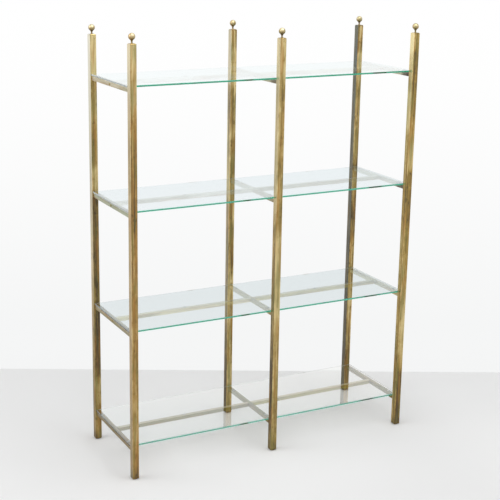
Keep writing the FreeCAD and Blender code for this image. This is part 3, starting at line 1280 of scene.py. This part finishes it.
@dataclass
class Studio:
    """A pale floor, a white wall behind the object and soft light.

    The sheets slide out over a comb of low screens. It hides the floor between its first screen and the wall.
    """

    heading: float
    lamps: tuple[SoftBox, ...]
    comb_distance: float = 0.64
    comb_height: float = 0.116
    comb_count: int = 16
    wall_distance: float = 0.97
    wall_height: float = 7.0
    half_width: float = 14.0
    floor_reach: float = 40.0
    floor_tones: Pair = (0.95, 0.892)
    floor_fade: Pair = (0.2, 0.85)
    floor_lift: float = 1.065
    lift_across: Pair = (0.45, 0.95)
    white_beyond: Pair = (1.6, 4.5)
    wall_paint: Paint = Paint(241, 242, 242)
    mirror_paint: Paint = Paint(232, 240, 242)
    wall_rise: Pair = (-0.75, 1.68)
    mirror_rises: tuple[Pair, Pair] = ((0.4, 0.75), (0.78, 1.68))
    ambient: Rgba = (0.55, 0.55, 0.55, 1.0)

    def build(self) -> None:
        """Builds the floor, the wall, the world and the lamps."""
        self.floor()
        self.wall()
        self.world()
        for lamp in self.lamps:
            lamp.build()
        log.info("studio: %d lamps", len(self.lamps))

    def sheets(self, name: str, outlines: list[list[Vector]], material: bpy.types.Material) -> None:
        """Adds flat sheets that aren't part of the object.

        Args:
            name: their name.
            outlines: the four corners of each, in order.
            material: what they are made of.
        """
        mesh = bpy.data.meshes.new(name)
        corners = [tuple(corner) for outline in outlines for corner in outline]
        mesh.from_pydata(corners, [], [tuple(range(first, first + 4)) for first in range(0, len(corners), 4)])
        mesh.materials.append(material)
        sheet = bpy.data.objects.new(name, mesh)
        bpy.context.scene.collection.objects.link(sheet)

    def screen(self, distance: float, height: float) -> list[Vector]:
        """Outlines an upright screen that faces the camera.

        Args:
            distance: how far it stands behind the object's middle.
            height: how high it is.

        Returns:
            Its corners.
        """
        away = Vector((math.sin(self.heading), math.cos(self.heading), 0))
        along = Vector((math.cos(self.heading), -math.sin(self.heading), 0)) * self.half_width
        foot, up = away * distance, Vector((0, 0, height))
        return [foot - along, foot + along, foot + along + up, foot - along + up]

    def floor(self) -> None:
        """Lays the floor, with painted light that makes it a little paler under the sheets and on the right,
        and white far from the object.
        """
        material, graph, output = new_material("studio_floor")
        x, y, _ = graph.split(graph.point())
        away = graph.sum("SQRT", graph.plus(graph.times(x, x), graph.times(y, y)))
        # Painted light: paler near the object to offset its shadow, and paler on the right to offset the
        # lamp's falloff.
        lift = graph.rise(x, *self.lift_across, 1.0, self.floor_lift)
        tone = graph.times(graph.rise(away, *self.floor_fade, *self.floor_tones), lift)
        paint = graph.fill(graph.add("BsdfDiffuse"), color=graph.joined((tone, tone, tone)))
        far = graph.times(graph.rise(away, *self.white_beyond), seen_directly(graph))
        graph.feed(output.inputs["Surface"], graph.cover(far, paint, graph.add("Emission").outputs[0]))
        corners = ((-1, -1), (1, -1), (1, 1), (-1, 1))
        outline = [Vector((x, y, 0)) * self.floor_reach for x, y in corners]
        self.sheets("studio_floor", [outline], material)

    def wall(self) -> None:
        """Stands the wall and the comb, with a painted reflection that is a little darker in the lower
        sheets, and clear from behind.
        """
        material, graph, output = new_material("studio_wall")
        _, _, height = graph.split(graph.point())
        shade = graph.blend(graph.rise(height, *self.wall_rise), self.wall_paint, WHITE)
        path = graph.add("LightPath")
        glossy, clear = path.outputs["Is Glossy Ray"], path.outputs["Is Transmission Ray"]
        # Painted reflection: mirrors see the wall dimmer and bluer low down than the camera does.
        mirrored = graph.minus(glossy, clear, clamp=True)
        first, second = (graph.rise(height, *limits) for limits in self.mirror_rises)
        dimmer = graph.blend(second, graph.blend(first, WHITE, self.mirror_paint), WHITE)
        glow = graph.fill(graph.add("Emission"), color=graph.blend(mirrored, shade, dimmer))
        light = graph.fill(graph.add("Emission"), color=self.ambient)
        front = graph.cover(seen_directly(graph), light, glow)
        behind = graph.add("NewGeometry").outputs["Backfacing"]
        open_back = graph.add("BsdfTransparent").outputs[0]
        graph.feed(output.inputs["Surface"], graph.cover(behind, front, open_back))
        screens = [self.screen(self.wall_distance, self.wall_height)]
        gap = (self.wall_distance - self.comb_distance) / self.comb_count
        for step in range(self.comb_count):
            screens.append(self.screen(self.comb_distance + gap * step, self.comb_height))
        self.sheets("studio_wall", screens, material)

    def world(self) -> None:
        """Sets the light from all round, which shows as white."""
        world = bpy.data.worlds.new("studio")
        world.use_nodes = True
        world.node_tree.nodes.clear()
        graph = Graph(world.node_tree)
        light = graph.fill(graph.add("Background"), color=self.ambient)
        shown = graph.fill(graph.add("Background"), color=WHITE)
        output = graph.add("OutputWorld")
        graph.feed(output.inputs["Surface"], graph.cover(seen_directly(graph), light, shown))
        bpy.context.scene.world = world


@dataclass(frozen=True)
class Viewpoint:
    """Where the camera stands, in metres and degrees."""

    place: Triple = (-2.031, -3.740, 1.948)
    heading: float = 25.78
    tilt: float = -14.01
    roll: float = 0.43
    lens: float = 82.6
    film: float = 36.0
    shift: Pair = (0.10, -0.07)

    def build(self) -> None:
        """Makes the camera and the scene's use of it."""
        turn, tip, lean = (math.radians(angle) for angle in (self.heading, self.tilt, self.roll))
        forward = Vector((math.sin(turn) * math.cos(tip), math.cos(turn) * math.cos(tip), math.sin(tip)))
        level = Vector((math.cos(turn), -math.sin(turn), 0))
        above = level.cross(forward)
        right = level * math.cos(lean) + above * math.sin(lean)
        up = above * math.cos(lean) - level * math.sin(lean)
        data = bpy.data.cameras.new("camera")
        data.sensor_width, data.lens = self.film, self.lens
        data.shift_x, data.shift_y = self.shift
        camera = bpy.data.objects.new("camera", data)
        facing = Matrix((right, up, -forward)).transposed().to_4x4()
        camera.matrix_world = Matrix.Translation(self.place) @ facing
        bpy.context.scene.collection.objects.link(camera)
        bpy.context.scene.camera = camera


def post_patina() -> dict[tuple[str, str], PostTone]:
    """Tells what each post has aged to, and the light and shade painted on it.

    Returns:
        The tone of each post, by row and side.
    """
    return {
        ("rear", "left"): PostTone(
            0.5,
            front=(
                (0.26, 0.985, 0.36, 0.02), (1.0, 1.09, -0.25, 0.02), (1.4, HEAD, -0.42),
                (1.43, 1.52, -0.5, 0.03), (0.54, 0.62, -0.16, 0.03), (0.38, 0.46, 0.26, 0.03),
            ),
            left=((0.62, 0.92, -0.16), (FOOT, 0.28, 0.18, 0.06)),
            bloom=((1.05, HEAD, 1.0, 0.75),),
            contrast=0.85,
            wear=0.15,
        ),
        ("front", "left"): PostTone(
            0.49,
            front=(
                (1.36, HEAD, -0.45, 0.04), (0.92, 1.22, 0.24, 0.04), (0.98, 1.06, 0.18, 0.03),
                (0.16, 0.24, -0.16, 0.03), (FOOT, 0.13, 0.12, 0.03),
            ),
            left=(
                (0.99, 1.08, -0.1, 0.03), (1.41, HEAD, -0.14, 0.03), (FOOT, 0.35, 0.14, 0.15),
                (FOOT, 0.24, 0.12, 0.03),
            ),
            bloom=((1.38, HEAD, 0.55, 0.2), (FOOT, HEAD, 0.17, 0.1)),
            contrast=0.75,
            middle=Paint(170, 134, 76),
            pale=Paint(240, 227, 196),
        ),
        ("rear", "centre"): PostTone(
            0.48,
            front=(
                (1.36, 1.5, -0.54, 0.02), (1.5, HEAD, 0.26, 0.03), (0.92, 0.98, -0.36, 0.02),
                (1.06, 1.2, -0.2, 0.02), (0.13, 0.22, -0.3, 0.03), (FOOT, 0.08, 0.2, 0.03),
                (0.38, 0.62, -0.28), (0.22, 0.32, 0.16, 0.03), (1.44, 1.446, -0.3, 0.002),
                (1.448, 1.454, 0.35, 0.002), (1.456, 1.463, -0.3, 0.002), (0.566, 0.58, -0.4, 0.004),
            ),
            left=(
                (1.25, 1.36, 0.2, 0.03), (0.94, 1.2, -0.14, 0.03), (0.54, 0.9, 0.32, 0.04),
                (FOOT, 0.38, 0.36), (0.06, 0.24, 0.48, 0.03),
            ),
            bloom=((1.37, HEAD, 0.35, 0.01), (0.4, HEAD, 0.15, 0.1)),
            contrast=1.1,
        ),
        ("front", "centre"): PostTone(
            0.46,
            front=(
                (1.37, HEAD, -0.1, 0.03), (1.22, 1.34, -0.1, 0.03), (1.06, 1.14, 0.2, 0.03),
                (0.52, 0.86, -0.48), (0.1, 0.22, 0.16, 0.03), (0.24, 0.31, -0.2, 0.03),
            ),
            left=(
                (0.99, 1.07, -0.18, 0.03), (0.74, 0.84, -0.14, 0.03), (FOOT, 0.85, 0.13, 0.2),
                (0.06, 0.37, 0.44, 0.04),
            ),
            bloom=((0.93, HEAD, 0.32, 0.04), (1.4, HEAD, 0.2, 0.04)),
            contrast=0.9,
            pale=Paint(245, 230, 190),
        ),
        ("rear", "right"): PostTone(
            0.48,
            front=(
                (1.36, 1.44, -0.5, 0.03), (1.47, HEAD, 0.32, 0.02), (1.28, 1.35, 0.14, 0.02),
                (0.68, 0.9, 0.26, 0.04), (0.98, 1.05, 0.18, 0.02), (0.26, 0.48, -0.18, 0.04),
                (FOOT, 0.22, 0.3), (1.437, 1.465, -0.3, 0.004),
            ),
            # Painted shade: the left face, turned from the light, is darker all along.
            left=(
                (FOOT, HEAD, 0.38), (1.36, 1.44, -0.15, 0.02), (FOOT, 0.68, 0.42, 0.04),
                (0.98, 1.06, 0.14, 0.03),
            ),
            smoke=((FOOT, HEAD, 0.3, 0.1), (0.45, HEAD, 0.3, 0.15), (1.42, HEAD, 0.3, 0.03)),
            contrast=1.25,
        ),
        ("front", "right"): PostTone(
            0.47,
            front=(
                (1.42, 1.52, 0.3, 0.03), (1.22, 1.42, 0.14, 0.03), (1.06, 1.16, -0.26, 0.03),
                (0.84, 1.05, 0.3, 0.03), (0.26, 0.55, -0.25), (FOOT, 0.24, 0.32),
            ),
            left=(
                (1.22, HEAD, -0.44, 0.04), (1.05, 1.14, -0.2, 0.03), (0.84, 0.99, 0.2, 0.03),
                (0.65, 0.82, -0.16, 0.03), (0.24, 0.53, 0.12, 0.04),
            ),
            bloom=((1.44, HEAD, 0.4, 0.03), (1.21, 1.36, 0.25, 0.03), (1.5, HEAD, 0.45, 0.02)),
            contrast=0.85,
            middle=Paint(165, 137, 72),
            pale=Paint(252, 234, 180),
        ),
    }


def rail_tones() -> dict[str, RailTones]:
    """Tells what the rails have aged to, painted paler the higher they are as a painted reflection of the
    white wall in the glass over them.

    Returns:
        The tones of each level.
    """
    return {
        "top": RailTones(
            end=Paint(201, 189, 162),
            inner=Paint(206, 198, 174),
            long=(Paint(250, 249, 242), Paint(222, 217, 188)),
            dust=0.75,
            shaded=(0.0, 0.5, 0.95),
        ),
        "upper": RailTones(
            end=Paint(170, 172, 146),
            inner=Paint(186, 186, 160),
            long=(Paint(240, 240, 222), Paint(176, 174, 138)),
            dust=0.7,
            shaded=(0.0, 0.2, 0.7),
        ),
        "lower": RailTones(
            end=Paint(158, 146, 114),
            inner=Paint(180, 176, 134),
            long=(Paint(238, 225, 168), Paint(190, 178, 104)),
            dust=0.5,
        ),
        "bottom": RailTones(
            end=Paint(138, 120, 82),
            inner=Paint(100, 100, 38),
            long=(Paint(122, 110, 26), Paint(146, 138, 40)),
            dust=0.5,
        ),
    }


def sheet_glass() -> dict[str, FloatGlass]:
    """Tells how the sheets differ: in their painted tint, which stands in for the reflections that differ
    from sheet to sheet, in how white their ends were ground, and in how green they are.

    Returns:
        The glass of each level.
    """
    return {
        "top": FloatGlass("float_glass_top", Paint(245, 252, 255), frost=1.0, depth_density=9.0),
        "upper": FloatGlass("float_glass_upper", Paint(240, 242, 246), frost=1.0, depth_density=7.0),
        "lower": FloatGlass("float_glass_lower", Paint(236, 236, 238), frost=0.3, depth_density=7.0),
        "bottom": FloatGlass("float_glass_bottom", Paint(255, 252, 251), frost=0.2, depth_density=5.0),
    }


def set_light_paths() -> None:
    """Lets light travel the length of a sheet of glass, which takes many reflections between its faces."""
    cycles = bpy.context.scene.cycles
    cycles.max_bounces = 40
    cycles.glossy_bounces = cycles.transmission_bounces = 36
    cycles.transparent_max_bounces = 24
    cycles.diffuse_bounces = 3


def main() -> None:
    """Dresses the frame, builds the glass and the joints, and sets the studio round them."""
    logging.basicConfig(level=logging.INFO, format="%(name)s: %(message)s")
    bpy.context.scene.view_settings.view_transform = "Standard"
    Posts(post_patina()).dress()
    braze = Brass("braze", seed=71.0, tarnish=0.62, streaks=0.2, clouds=0.6, spots=0.4, wear=0.0).material()
    tones, glass = rail_tones(), sheet_glass()
    for level in LEVELS:
        Rails(level, tones[level]).dress()
        GlassSheet(level).build(glass[level].material())
        BrazedJoints(level).build(braze)
    Fittings().dress()
    viewpoint = Viewpoint()
    viewpoint.build()
    lamps = (
        SoftBox("window_left", place=(-2.6, 0.3, 2.6), aim=(-0.2, 0.0, 0.9), width=2.0, height=2.2, power=24),
        SoftBox("overhead", place=(0.15, -0.8, 3.4), aim=(0.15, -0.1, 0.0), width=2.6, height=2.4, power=44),
    )
    Studio(math.radians(viewpoint.heading), lamps).build()
    set_light_paths()


if __name__ == "__main__":
    main()
